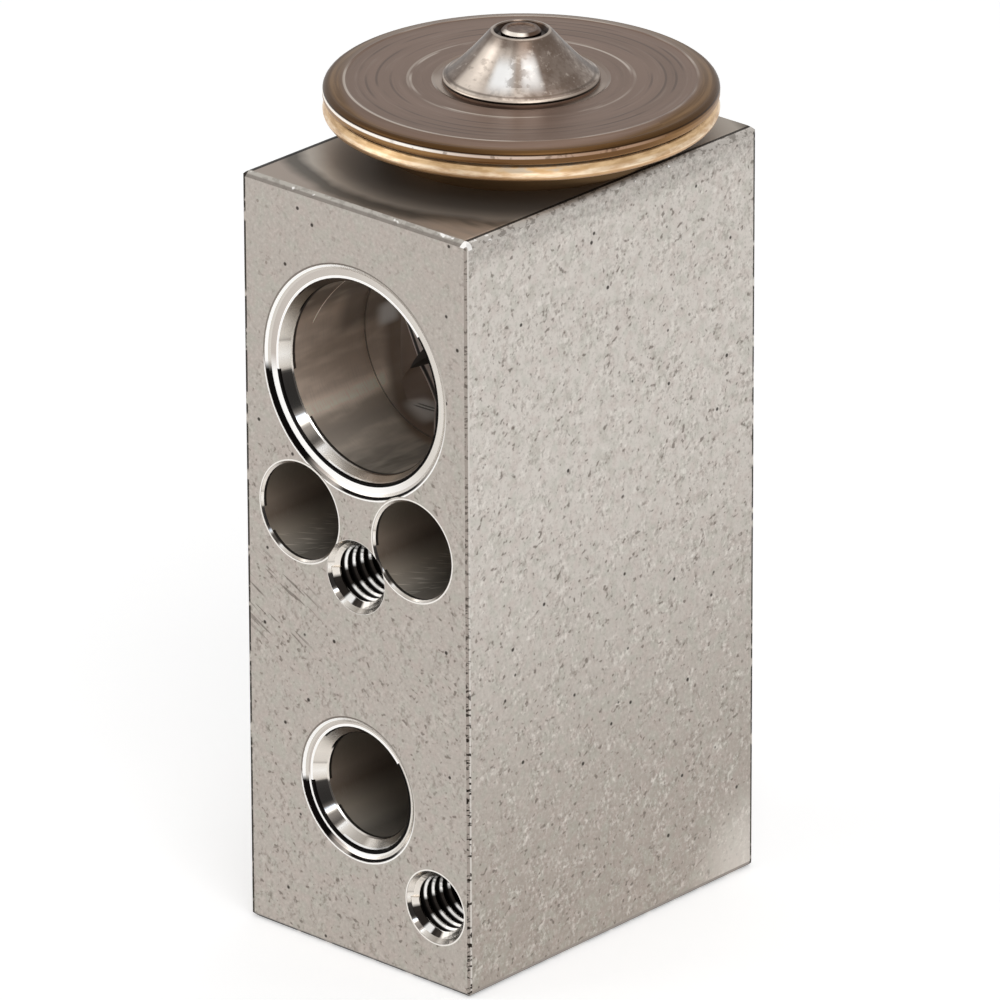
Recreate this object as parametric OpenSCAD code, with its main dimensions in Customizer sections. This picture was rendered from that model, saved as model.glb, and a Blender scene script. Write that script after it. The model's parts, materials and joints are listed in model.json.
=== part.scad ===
// Block expansion valve for a vehicle air conditioner, in millimetres.
// X runs across the port face, Y from the port face (-Y) to the back, Z up.
// The origin is the middle of the block's underside.

/* [Block] */
// Width of the block across the port face
block_w = 26; // [26:0.1:30]
// Depth of the block from the port face to the back
block_d = 37.2; // [37.2:0.1:42]
// Height of the block
block_h = 70; // [70:0.1:72]
// Radius of the four edges that run from front to back
long_edge = 0.8; // [0.3:0.1:1]
// Flat broken on the top and bottom edges of the port face and the back
face_edge = 0.5; // [0.2:0.1:0.8]
// Flat broken on the four upright edges
upright_edge = 0.3; // [0.1:0.1:0.5]

/* [Suction passage] */
// Height of the suction passage's axis
suction_z = 53.9; // [53.6:0.1:54.2]
// Diameter of the suction ports' bores
suction_d = 17.2; // [17:0.1:17.4]
// Diameter of the passage between the two suction ports
passage_d = 16.8; // [15:0.1:16.8]
// Diameter of the chamfered ring round each suction port
suction_ring_d = 21; // [20.6:0.1:21]
// Width of the flat seal ledge in each suction port
suction_ledge = 0.8; // [0.4:0.1:0.8]

/* [Liquid passages] */
// Height of the liquid inlet's axis, in the port face
inlet_z = 15.9; // [15.7:0.1:16.2]
// Diameter of the inlet port's bore
inlet_d = 9.6; // [9:0.1:9.8]
// Diameter of the chamfered ring round the inlet port
inlet_ring_d = 13.2; // [12.8:0.1:13.4]
// Width of the flat seal ledge in the inlet port
inlet_ledge = 0.4; // [0.3:0.1:0.5]
// Depth of the inlet port's bore
inlet_depth = 12; // [11:0.1:12.5]
// Diameter of the drilling from the inlet port to the valve chamber
inlet_feed_d = 5.6; // [4:0.1:5.6]
// Height of the outlet's axis, in the back
outlet_z = 26; // [26:0.1:26.4]
// Diameter of the outlet port's bore
outlet_d = 10.4; // [10:0.1:10.8]
// Diameter of the chamfered ring round the outlet port
outlet_ring_d = 14.4; // [14:0.1:14.6]
// Depth of the outlet port's bore
outlet_depth = 11; // [10:0.1:11.5]
// Diameter of the drilling from the outlet port to the orifice
outlet_feed_d = 7; // [6:0.1:7]

/* [Holes in the port face] */
// Height of the two mounting bolt holes
bolt_z = 40.15; // [40:0.05:40.3]
// Distance between the two mounting bolt holes
bolt_spacing = 13.1; // [13.1:0.1:13.4]
// Diameter of the mounting bolt holes
bolt_d = 8.8; // [8.4:0.1:8.8]
// Nominal diameter of the two tapped holes
stud_d = 6; // [5:0.1:6]
// Depth of the tapped holes
stud_depth = 13; // [10:0.5:13]
// Diameter of the countersinks on the tapped holes
stud_sink_d = 6.7; // [6.5:0.1:6.7]
// Height of the middle tapped hole
stud_z = 35.9; // [35.6:0.1:36]
// Distance of the low tapped hole from the block's middle
low_stud_x = 9; // [8.5:0.1:9.2]
// Height of the low tapped hole
low_stud_z = 7.5; // [7:0.1:8]

/* [Head] */
// Distance of the valve's axis behind the middle of the block
axis_y = 2.7; // [2:0.1:3]
// Diameter of the head
head_d = 34.1; // [33.8:0.1:35]
// Height of the joint between the head's two covers above the block
head_joint_h = 4; // [4:0.1:4.2]
// Height of the head's flat top above the block
head_top_h = 5.6; // [5.6:0.1:6]
// Thickness of the covers' sheet metal
head_sheet = 0.9; // [0.7:0.1:0.9]
// Diameter of the bell at its foot
bell_foot_d = 13.6; // [13:0.1:14]
// Height of the rounded lip at the bell's foot
bell_step = 0.45; // [0.4:0.05:0.7]
// Height of the bell above the flat top
bell_h = 4.45; // [4.2:0.05:4.8]
// Diameter of the bell where its shoulder begins
bell_top_d = 5.5; // [5.3:0.1:5.7]
// Diameter of the charge plug's head
plug_d = 3.5; // [3.3:0.1:3.6]

/* [Valve] */
// Diameter of the socket that takes the head
socket_d = 21; // [20.6:0.1:21]
// Diameter of the valve orifice
orifice_d = 4.2; // [3.8:0.1:4.2]
// Diameter of the valve ball
ball_d = 6; // [5.8:0.1:6.2]
// Opening of the valve between the seat and the stop
lift = 0.7; // [0.4:0.05:0.8]
// Diameter of the operating pin
pin_d = 2; // [1.8:0.1:2]
// Diameter of the sensing rod
rod_d = 6.4; // [5.6:0.1:6.8]
// Thread diameter of the adjusting screw
screw_d = 12; // [11.6:0.1:12.2]
// Size across flats of the adjusting screw's hexagon
hex_af = 5; // [4:0.5:5]
// Turns of the valve spring
spring_turns = 4.5; // [4:0.5:5]

/* [Hidden] */

fine = 96;
medium = 64;
over = 1;
pin_clearance = 0.03;
face_gap = 0.02;

// Ports
ring_depth = 0.35;
ring_step = 0.5;
seal_cone_depth = 1.5;
port_wall = 0.3;
drill_half_angle = 59;

// Bolt holes and tapped holes
hole_edge = 0.2;
sink_depth = 0.5;

// Head socket in the block
seal_floor_z = 45;
seal_sink = 2.2;
socket_floor_z = seal_floor_z + seal_sink;
socket_floor_slope = 15;
rod_above_seal = 4;
rod_bottom_z = seal_floor_z + rod_above_seal;
spot_face_d = 7.6;
rod_pocket_d = 4.4;
rod_pocket_depth = 1.3;
head_groove_d = 24.2;
head_groove_depth = 1.1;

// Seat, chamber and screw bore
seat_z = 19.6;
seat_chamfer = 0.4;
chamber_d = 10.6;
chamber_floor_z = 8.2;
screw_bore_d = screw_d + 0.1;
mouth_chamfer = 0.5;

// Moving stack: the ball's centre when it touches the seat, then at rest on the stop
orifice_r = orifice_d / 2;
ball_r = ball_d / 2;
contact_r = ball_r * cos(45);
ball_shut_z = seat_z + seat_chamfer - (contact_r - orifice_r) - contact_r;
ball_z = ball_shut_z - face_gap - lift;
pin_bottom_z = ball_z + ball_r + face_gap / 2;
pin_in_rod = 6;

// Head heights and widths
joint_z = block_h + head_joint_h;
top_z = block_h + head_top_h;
bell_top_z = top_z + bell_h;
head_r = head_d / 2;
joint_gap = 0.1;
lip_w = 3.2;
lip_inner_r = head_r - lip_w;
border_w = 1.85;
border_lip = 0.06;
border_drop = 0.25;
rim_round = 0.6;
rim_under = 0.3;

// Bell and charge plug
bell_edge = 0.25;
bell_flare = 1.18;
shoulder_round = 0.5;
shoulder_from = 40;
moat_depth = 0.12;
moat_in = 0.25;
moat_out = 0.6;
moat_end = 0.9;
plug_gap = 0.3;
plug_well = 0.45;
plug_neck = 0.65;
plug_rise = 0.15;
plug_round = 0.25;
plug_rim = 0.5;
plug_dish = 0.12;
plug_tail = 0.3;

// Lower cover
neck_d = socket_d - 0.4;
neck_bottom_z = 63.4;
neck_bore_d = 16.4;
collar_d = 24.8;
collar_h = 1.4;
flange_h = 1.4;
flange_round = 0.6;
flange_bevel = 0.3;
flange_lip = 0.1;
stop_above = 1.7;
stop_z = block_h + stop_above;
stop_d = 20.6;
stop_h = 0.8;

// Pressure pad and diaphragm
dish_depth = 0.82;
pad_d = 20;
pad_z = stop_z + face_gap;
pad_top_z = joint_z - dish_depth;
pad_edge = 0.4;
pad_hub_d = 9;
pad_hub_h = 1.6;
pad_slots = 3;
pad_slot_w = 2.4;
pad_slot_depth = 1.1;
dish_edge = 0.3;
dish_top_r = lip_inner_r - dish_edge;
dish_floor_r = pad_d / 2 - 2 * pad_edge;
dish_floor_z = pad_top_z + face_gap;
foil = 0.15;
foil_bend = 0.1;
foil_edge_in = 0.8;

// Ball carrier and spring
carrier_d = 8.8;
carrier_top_z = ball_z - ball_r / 2;
carrier_rim_r = ball_r * 1.13;
carrier_base_z = 12.6;
spigot_d = 4.8;
spigot_h = 2;
wire_d = 0.9;
spring_d = 7.4;
wire_sides = 10;
turn_steps = 20;
end_turns = 0.8;
end_pitch = wire_d * 1.1;

// Adjusting screw
screw_bottom_z = 1.4;
screw_thread_top_z = 4.3;
screw_groove_top_z = 5.6;
screw_top_z = 6.8;
screw_seat_z = 6;
screw_cup_d = 9.4;
screw_groove_d = 9.8;
screw_land_d = screw_d - 0.1;
screw_edge = 0.4;
hex_depth = 2.8;
screw_ring_d = 1.11;

// Turns a child's Z axis to +Y, from the front
module from_front(x, z) {
    translate([x, -block_d / 2, z])
        rotate([-90, 0, 0])
            children();
}

// Turns a child's Z axis to -Y, from the back
module from_back(x, z) {
    translate([x, block_d / 2, z])
        rotate([90, 0, 0])
            children();
}

module on_axis(z = 0) {
    translate([0, axis_y, z])
        children();
}

module ring(outer_d, inner_d, h) {
    difference() {
        cylinder(d = outer_d, h = h, $fn = fine);
        translate([0, 0, -over])
            cylinder(d = inner_d, h = h + 2 * over, $fn = fine);
    }
}

module o_ring(centre_d, section_d) {
    rotate_extrude($fn = fine)
        translate([centre_d / 2, 0])
            circle(d = section_d, $fn = 24);
}

// Points of an arc about (x, y) from one angle to another
function arc(x, y, r, from, to, steps = 6) = [
    for (i = [0:steps])
        let (t = from + (to - from) * i / steps)
        [x + r * cos(t), y + r * sin(t)]
];

// Rectangle a by b, centred, with its four corners cut by c
function cut_corners(a, b, c) = [
    [-a / 2 + c, -b / 2], [a / 2 - c, -b / 2], [a / 2, -b / 2 + c], [a / 2, b / 2 - c],
    [a / 2 - c, b / 2], [-a / 2 + c, b / 2], [-a / 2, b / 2 - c], [-a / 2, -b / 2 + c]
];

// Rectangle a by b, centred, with its four corners rounded
module round_corners(a, b, r) {
    square([a - 2 * r, b], center = true);
    square([a, b - 2 * r], center = true);
    for (x = [-1, 1], y = [-1, 1])
        translate([x * (a / 2 - r), y * (b / 2 - r)])
            circle(r = r, $fn = medium);
}

// Block with every edge broken: three prisms, one along each axis
module block_blank() {
    translate([0, 0, block_h / 2])
        intersection() {
            linear_extrude(height = block_h, center = true)
                polygon(cut_corners(block_w, block_d, upright_edge));
            rotate([90, 0, 0])
                linear_extrude(height = block_d, center = true)
                    round_corners(block_w, block_h, long_edge);
            rotate([90, 0, 90])
                linear_extrude(height = block_w, center = true)
                    polygon(cut_corners(block_d, block_h, face_edge));
        }
}

// Port: chamfered ring, flat seal ledge, seal cone and bore, open towards -Z
module port(ring_d, ledge, bore_d, depth) {
    ring_r = ring_d / 2;
    bore_r = bore_d / 2;
    ledge_r = ring_r - ring_step;
    rotate_extrude($fn = fine)
        polygon([
            [0, -over], [ring_r, -over], [ring_r, 0], [ledge_r, ring_depth],
            [ledge_r - ledge, ring_depth], [bore_r, seal_cone_depth],
            [bore_r, depth], [0, depth]
        ]);
}

// Blind drilling with a drill point, open towards -Z
module drilling(d, depth) {
    translate([0, 0, -over])
        cylinder(d = d, h = depth + over, $fn = medium);
    translate([0, 0, depth])
        cylinder(d1 = d, d2 = 0, h = d / 2 / tan(drill_half_angle), $fn = medium);
}

module tapped_hole() {
    drilling(stud_d, stud_depth);
    translate([0, 0, -over])
        cylinder(d = stud_sink_d, h = over, $fn = medium);
    cylinder(d1 = stud_sink_d, d2 = stud_d, h = sink_depth, $fn = medium);
}

module bolt_hole() {
    edge_d = bolt_d + 2 * hole_edge;
    translate([0, 0, -over])
        cylinder(d = bolt_d, h = block_d + 2 * over, $fn = fine);
    translate([0, 0, -over])
        cylinder(d = edge_d, h = over, $fn = fine);
    cylinder(d1 = edge_d, d2 = bolt_d, h = hole_edge, $fn = fine);
    translate([0, 0, block_d - hole_edge])
        cylinder(d1 = bolt_d, d2 = edge_d, h = hole_edge, $fn = fine);
    translate([0, 0, block_d])
        cylinder(d = edge_d, h = over, $fn = fine);
}

// Socket for the head, from the top of the block into the suction passage
module head_socket() {
    socket_r = socket_d / 2;
    spot_r = spot_face_d / 2;
    cone_low_z = socket_floor_z - (socket_r - spot_r) * tan(socket_floor_slope);
    pocket_r = rod_pocket_d / 2;
    pocket_z = seal_floor_z - rod_pocket_depth;
    groove_z = block_h - head_groove_depth;
    rotate_extrude($fn = fine)
        polygon([
            [0, pocket_z], [pocket_r, pocket_z], [pocket_r, seal_floor_z],
            [spot_r, seal_floor_z], [spot_r, cone_low_z], [socket_r, socket_floor_z],
            [socket_r, groove_z], [head_groove_d / 2, groove_z],
            [head_groove_d / 2, block_h + over], [0, block_h + over]
        ]);
}

// Screw bore, valve chamber, seat and orifice, from the underside up
module valve_chamber() {
    bore_r = screw_bore_d / 2;
    chamber_r = chamber_d / 2;
    rotate_extrude($fn = fine)
        polygon([
            [0, -over], [bore_r + mouth_chamfer, -over], [bore_r + mouth_chamfer, 0],
            [bore_r, mouth_chamfer], [bore_r, chamber_floor_z], [chamber_r, chamber_floor_z],
            [chamber_r, seat_z], [orifice_r + seat_chamfer, seat_z],
            [orifice_r, seat_z + seat_chamfer], [orifice_r, outlet_z], [0, outlet_z]
        ]);
}

module valve_body() {
    guide_d = pin_d + 2 * pin_clearance;
    front_depth = block_d / 2 + axis_y - socket_d / 2 - port_wall;
    back_depth = block_d / 2 - axis_y - socket_d / 2 - port_wall;
    inlet_feed_l = block_d / 2 + axis_y;
    outlet_feed_l = block_d / 2 - axis_y + outlet_feed_d / 2;
    color([0.76, 0.74, 0.71])
        difference() {
            block_blank();
            from_front(0, suction_z) {
                port(suction_ring_d, suction_ledge, suction_d, front_depth);
                cylinder(d = passage_d, h = block_d, $fn = fine);
            }
            from_back(0, suction_z)
                port(suction_ring_d, suction_ledge, suction_d, back_depth);
            for (side = [-1, 1])
                from_front(side * bolt_spacing / 2, bolt_z)
                    bolt_hole();
            from_front(0, stud_z)
                tapped_hole();
            from_front(low_stud_x, low_stud_z)
                tapped_hole();
            from_front(0, inlet_z) {
                port(inlet_ring_d, inlet_ledge, inlet_d, inlet_depth);
                cylinder(d = inlet_feed_d, h = inlet_feed_l, $fn = medium);
            }
            from_back(0, outlet_z) {
                port(outlet_ring_d, inlet_ledge, outlet_d, outlet_depth);
                cylinder(d = outlet_feed_d, h = outlet_feed_l, $fn = medium);
            }
            on_axis() {
                head_socket();
                valve_chamber();
                translate([0, 0, outlet_z])
                    cylinder(d = guide_d, h = seal_floor_z - outlet_z, $fn = medium);
            }
        }
}

module head_seal() {
    section = head_groove_depth;
    color([0.12, 0.13, 0.12])
        on_axis(block_h - section / 2)
            o_ring(head_groove_d - section - face_gap, section);
}

// Turned and pressed lower cover with the neck that goes into the block
module head_lower_cover() {
    neck_r = neck_d / 2;
    collar_r = collar_d / 2;
    rim_top_z = joint_z - joint_gap;
    rim_low_z = rim_top_z - flange_h;
    stop_r = stop_d / 2;
    color([0.78, 0.62, 0.42])
        on_axis()
            rotate_extrude($fn = fine)
                polygon(concat(
                    [
                        [neck_bore_d / 2, neck_bottom_z], [neck_r, neck_bottom_z],
                        [neck_r, block_h], [collar_r, block_h],
                        [collar_r, block_h + collar_h]
                    ],
                    arc(head_r - flange_round, rim_low_z + flange_round, flange_round, -90, 0),
                    [
                        [head_r - flange_bevel, rim_top_z - flange_lip],
                        [head_r - flange_bevel - flange_lip, rim_top_z],
                        [lip_inner_r, rim_top_z],
                        [stop_r, stop_z + stop_h], [stop_r, stop_z],
                        [neck_bore_d / 2, stop_z]
                    ]
                ));
}

// Thin disc, held at its edge and dished down onto the pressure pad
module diaphragm() {
    edge_r = head_r - foil_edge_in;
    color([0.72, 0.71, 0.68])
        on_axis()
            rotate_extrude($fn = fine)
                polygon([
                    [0, dish_floor_z], [dish_floor_r, dish_floor_z],
                    [dish_top_r, joint_z - joint_gap], [edge_r, joint_z - joint_gap],
                    [edge_r, joint_z + joint_gap], [dish_top_r - dish_edge, joint_z + joint_gap],
                    [dish_floor_r - foil_bend, dish_floor_z + foil], [0, dish_floor_z + foil]
                ]);
}

// Bell outline, from its foot (u = 0) to its top (u = 1): a flare that steepens as it rises
function bell_point(u, foot_r, foot_z, top_r, h) =
    [foot_r + u * (top_r - foot_r), foot_z + h * pow(u, bell_flare)];

// Upper cover: flat top with a bell, a falling border and a rolled rim down to the joint
module head_upper_cover() {
    foot_r = bell_foot_d / 2;
    top_r = bell_top_d / 2;
    shoulder_r = top_r - shoulder_round * cos(shoulder_from);
    shoulder_z = bell_top_z - shoulder_round;
    shoulder_foot_z = shoulder_z + shoulder_round * sin(shoulder_from);
    stem_r = plug_d / 2 - plug_neck;
    step_z = top_z + bell_step;
    recess_z = bell_top_z - plug_well;
    under_z = top_z - head_sheet;
    inner_top_z = recess_z - head_sheet;
    rim_z = joint_z + joint_gap;
    border_r = head_r - border_w;
    rim_arc_z = top_z - border_drop - rim_round;
    step = 1 / 12;
    color([0.52, 0.47, 0.43])
        on_axis()
            rotate_extrude($fn = fine)
                polygon(concat(
                    [
                        [stem_r, inner_top_z], [stem_r, recess_z],
                        [plug_d / 2 + plug_gap, recess_z]
                    ],
                    arc(shoulder_r, shoulder_z, shoulder_round, 90, shoulder_from),
                    [for (u = [1 - step:-step:step])
                        bell_point(u, foot_r - bell_edge, step_z, top_r,
                            shoulder_foot_z - step_z)],
                    arc(foot_r - bell_edge, step_z - bell_edge, bell_edge, 60, -30, 4),
                    [
                        [foot_r, top_z - moat_depth],
                        [foot_r + moat_out, top_z - moat_depth], [foot_r + moat_end, top_z],
                        [border_r - moat_in, top_z], [border_r, top_z + border_lip],
                        [border_r + moat_in, top_z]
                    ],
                    arc(head_r - rim_round, rim_arc_z, rim_round, 90, 0),
                    arc(head_r - rim_under, rim_z + rim_under, rim_under, 0, -90, 4),
                    [
                        [lip_inner_r, rim_z], [lip_inner_r, rim_z + joint_gap],
                        [lip_inner_r + head_sheet, under_z], [foot_r - head_sheet, under_z]
                    ],
                    [for (u = [step:step:1])
                        bell_point(u, foot_r - head_sheet, under_z, stem_r, inner_top_z - under_z)]
                ));
}

// Plug that closes the charging hole, with a dished top
module charge_plug() {
    plug_r = plug_d / 2;
    stem_r = plug_r - plug_neck;
    recess_z = bell_top_z - plug_well;
    tail_z = recess_z - head_sheet - plug_tail;
    head_z = bell_top_z + plug_rise;
    color([0.45, 0.40, 0.36])
        on_axis()
            rotate_extrude($fn = medium)
                polygon([
                    [0, tail_z], [stem_r, tail_z], [stem_r, recess_z], [plug_r, recess_z],
                    [plug_r, head_z - plug_round], [plug_r - plug_round, head_z],
                    [plug_r - plug_rim, head_z], [plug_r - plug_rim - plug_dish, head_z - plug_dish],
                    [0, head_z - plug_dish]
                ]);
}

// Disc under the diaphragm, with three slots that let the gas past
module pressure_pad() {
    pad_r = pad_d / 2;
    hub_bottom_z = pad_z - pad_hub_h;
    color([0.70, 0.68, 0.64])
        on_axis()
            difference() {
                rotate_extrude($fn = fine)
                    polygon([
                        [0, hub_bottom_z], [pad_hub_d / 2, hub_bottom_z], [pad_hub_d / 2, pad_z],
                        [pad_r, pad_z], [pad_r, pad_top_z - pad_edge],
                        [dish_floor_r - pad_edge, pad_top_z], [0, pad_top_z]
                    ]);
                translate([0, 0, hub_bottom_z - over])
                    cylinder(d = rod_d, h = pad_hub_h + over, $fn = medium);
                for (i = [0:pad_slots - 1])
                    rotate([0, 0, i * 360 / pad_slots])
                        translate([pad_r - pad_slot_depth, -pad_slot_w / 2, pad_z - over])
                            cube([pad_r, pad_slot_w, pad_top_z - pad_z + 2 * over]);
            }
}

module sensing_rod() {
    rod_r = rod_d / 2;
    chamfer = 0.5;
    hole_top_z = rod_bottom_z + pin_in_rod;
    color([0.80, 0.80, 0.79])
        on_axis()
            rotate_extrude($fn = medium)
                polygon([
                    [pin_d / 2, rod_bottom_z], [rod_r - chamfer, rod_bottom_z],
                    [rod_r, rod_bottom_z + chamfer], [rod_r, pad_z],
                    [0, pad_z], [0, hole_top_z], [pin_d / 2, hole_top_z]
                ]);
}

module operating_pin() {
    pin_top_z = rod_bottom_z + pin_in_rod;
    color([0.68, 0.68, 0.68])
        on_axis(pin_bottom_z)
            cylinder(d = pin_d, h = pin_top_z - pin_bottom_z, $fn = medium);
}

module rod_o_ring() {
    inner_d = pin_d + 2 * face_gap;
    section = (rod_pocket_d - inner_d) / 2 - face_gap;
    color([0.12, 0.13, 0.12])
        on_axis(seal_floor_z - rod_pocket_depth / 2)
            o_ring(inner_d + section, section);
}

// Push-on ring that keeps the rod's seal in its pocket
module rod_seal_retainer() {
    bore = pin_d + 0.3;
    slots = 6;
    slot_w = 0.4;
    slot_l = 2.3;
    thickness = 0.4;
    color([0.62, 0.62, 0.60])
        on_axis(seal_floor_z)
            difference() {
                ring(spot_face_d - 0.2, bore, thickness);
                for (i = [0:slots - 1])
                    rotate([0, 0, i * 360 / slots])
                        translate([0, -slot_w / 2, -over])
                            cube([slot_l, slot_w, thickness + 2 * over]);
            }
}

module valve_ball() {
    color([0.66, 0.67, 0.68])
        on_axis(ball_z)
            sphere(d = ball_d, $fn = medium);
}

// Cup that carries the ball on the spring
module ball_carrier() {
    cone_rise = tan(30);
    seat_gap = face_gap / 2;
    apex_z = ball_z - ball_r / cos(30) - seat_gap;
    floor_r = 0.6;
    outer_r = carrier_d / 2;
    color([0.74, 0.72, 0.66])
        on_axis()
            rotate_extrude($fn = medium)
                polygon([
                    [0, carrier_base_z - spigot_h],
                    [spigot_d / 2 - 0.4, carrier_base_z - spigot_h],
                    [spigot_d / 2, carrier_base_z - spigot_h + 0.4],
                    [spigot_d / 2, carrier_base_z], [outer_r, carrier_base_z],
                    [outer_r, carrier_top_z - 0.4], [outer_r - 0.4, carrier_top_z],
                    [carrier_rim_r, apex_z + carrier_rim_r * cone_rise],
                    [floor_r, apex_z + floor_r * cone_rise], [0, apex_z + floor_r * cone_rise]
                ]);
}

// Height along the coil after t turns: close turns at both ends, even ones between
function coil_z(t, h) =
    let (rise = (h - 2 * end_turns * end_pitch) / (spring_turns - 2 * end_turns))
    t < end_turns ? t * end_pitch
    : t > spring_turns - end_turns ? h - (spring_turns - t) * end_pitch
    : end_turns * end_pitch + (t - end_turns) * rise;

// Point of the coil after t turns, at this share of the way round the wire
function coil_point(t, round_wire, h) =
    let (r = spring_d / 2 + wire_d / 2 * cos(360 * round_wire))
    [r * cos(360 * t), r * sin(360 * t), coil_z(t, h) + wire_d / 2 * sin(360 * round_wire)];

module valve_spring() {
    steps = spring_turns * turn_steps;
    coil_h = carrier_base_z - screw_seat_z - wire_d - 2 * face_gap;
    points = [
        for (i = [0:steps])
            for (k = [0:wire_sides - 1])
                coil_point(i / turn_steps, k / wire_sides, coil_h)
    ];
    sides = [
        for (i = [0:steps - 1])
            for (k = [0:wire_sides - 1])
                let (n = (k + 1) % wire_sides, a = i * wire_sides, b = a + wire_sides)
                each [[a + k, b + k, b + n], [a + k, b + n, a + n]]
    ];
    first = [for (k = [0:wire_sides - 1]) k];
    last = [for (k = [wire_sides - 1:-1:0]) steps * wire_sides + k];
    color([0.60, 0.60, 0.60])
        on_axis(screw_seat_z + wire_d / 2 + face_gap)
            polyhedron(points = points, faces = concat([first], sides, [last]), convexity = 10);
}

// Hollow-topped screw that sets the spring's load, turned by a hexagon key
module adjusting_screw() {
    thread_r = screw_d / 2;
    groove_r = screw_groove_d / 2;
    land_r = screw_land_d / 2;
    cup_r = screw_cup_d / 2;
    color([0.72, 0.60, 0.36])
        on_axis()
            difference() {
                rotate_extrude($fn = fine)
                    polygon([
                        [0, screw_bottom_z], [thread_r - screw_edge, screw_bottom_z],
                        [thread_r, screw_bottom_z + screw_edge], [thread_r, screw_thread_top_z],
                        [groove_r, screw_thread_top_z], [groove_r, screw_groove_top_z],
                        [land_r, screw_groove_top_z], [land_r, screw_top_z],
                        [cup_r, screw_top_z], [cup_r, screw_seat_z], [0, screw_seat_z]
                    ]);
                translate([0, 0, screw_bottom_z - over])
                    cylinder(d = hex_af / cos(30), h = hex_depth + over, $fn = 6);
            }
}

module screw_o_ring() {
    centre_d = screw_groove_d + screw_ring_d + 2 * face_gap;
    color([0.12, 0.13, 0.12])
        on_axis((screw_thread_top_z + screw_groove_top_z) / 2)
            o_ring(centre_d, screw_ring_d);
}

valve_body();
head_seal();
head_lower_cover();
diaphragm();
head_upper_cover();
charge_plug();
pressure_pad();
sensing_rod();
operating_pin();
rod_o_ring();
rod_seal_retainer();
valve_ball();
ball_carrier();
valve_spring();
adjusting_screw();
screw_o_ring();
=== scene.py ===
# Looks of the block expansion valve: its finishes, its threads and its studio.
# Metres, in the frame of the solids: X across the port face, -Y out of it, Z up.
# Angles about a hole are seen from outside the port face, from +X round over the top.
# Angles about the head are seen from above, from +X round through the back.

import json
import math
from collections import namedtuple

import bmesh
import bpy
from mathutils import Matrix, Vector


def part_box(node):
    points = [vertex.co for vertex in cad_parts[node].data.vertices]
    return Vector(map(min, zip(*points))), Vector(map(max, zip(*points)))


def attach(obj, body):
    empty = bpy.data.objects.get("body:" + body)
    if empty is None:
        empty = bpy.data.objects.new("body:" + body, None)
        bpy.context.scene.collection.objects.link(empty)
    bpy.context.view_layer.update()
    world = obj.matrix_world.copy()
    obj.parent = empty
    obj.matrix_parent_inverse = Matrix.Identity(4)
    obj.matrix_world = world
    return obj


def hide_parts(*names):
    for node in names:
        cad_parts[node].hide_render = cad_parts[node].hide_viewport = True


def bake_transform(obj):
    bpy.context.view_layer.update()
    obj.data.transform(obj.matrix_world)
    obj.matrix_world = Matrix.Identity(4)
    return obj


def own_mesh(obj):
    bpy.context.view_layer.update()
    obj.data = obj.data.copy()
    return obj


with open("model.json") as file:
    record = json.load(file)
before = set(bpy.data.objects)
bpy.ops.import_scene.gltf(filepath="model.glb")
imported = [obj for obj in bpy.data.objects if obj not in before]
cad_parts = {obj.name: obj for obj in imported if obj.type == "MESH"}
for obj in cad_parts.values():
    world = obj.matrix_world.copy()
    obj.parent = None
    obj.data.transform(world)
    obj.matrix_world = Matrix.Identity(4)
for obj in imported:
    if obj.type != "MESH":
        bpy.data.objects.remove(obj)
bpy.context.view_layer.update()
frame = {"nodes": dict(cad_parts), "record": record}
bpy.context.scene.view_settings.view_transform = "Standard"

MM = 0.001
mounts = {mount["name"]: mount for mount in frame["record"]["mounts"]}

# Block
block_low, block_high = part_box("valve_body")
face_y = block_low[1]
back_y = block_high[1]
side_x = block_high[0]
block_top = block_high[2]
long_edge = 0.85 * MM
upright_edge = 0.35 * MM
skin = 0.02 * MM

# Ports: where the chamfered ring and the cone end, how far outside its mouth a port's finish
# reaches, and the mouth's radius past which a port counts as wide
port_ring_depth = 0.35 * MM
port_cone_depth = 1.5 * MM
port_margin = 1.4 * MM
wide_r = 8.0 * MM

# How much lighter each hole's wall is painted, for the little light that reaches it: painted light,
# and below 1 painted shade
suction_wall = 3.8
liquid_wall = 3.4
bolt_wall = 3.8
stud_wall = 0.03
other_wall = 1.5

# Head
cover_low, cover_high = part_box("head_upper_cover")
axis_y = (cover_low[1] + cover_high[1]) / 2
head_r = (cover_high[0] - cover_low[0]) / 2
seam_z = cover_low[2]
flat_top_z = block_top + 5.6 * MM
bell_foot_r = 6.8 * MM
border_r = head_r - 1.85 * MM
roll_r = head_r - 0.6 * MM

# Tapped holes
thread_pitch = 1.0 * MM
thread_crest = 0.5 * MM
thread_overlap = 0.02 * MM
thread_steps = 40
lead_end = 0.86 * MM
lead_depth = 0.36 * MM

# Camera: angles in degrees, lens and film in millimetres
camera_turn = 42.241
camera_height = 22.788
camera_roll = -0.209
camera_distance = 1.01206
camera_offset = (0.000357, 0.001589)
camera_lens = 419.76
camera_film = 36
camera_shift = (-0.0058, 0.0057)

# Studio: the floor's half width and tone, and the lift that makes it white where it is seen
floor_half = 3
floor_tone = 0.85
floor_lift = 0.42
world_light = 0.5


def linear(r, g, b):
    """Linear colour of a screen colour given in parts of 255."""
    def one(v):
        v = v / 255
        return v / 12.92 if v <= 0.04045 else ((v + 0.055) / 1.055) ** 2.4

    return (one(r), one(g), one(b), 1)


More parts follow.
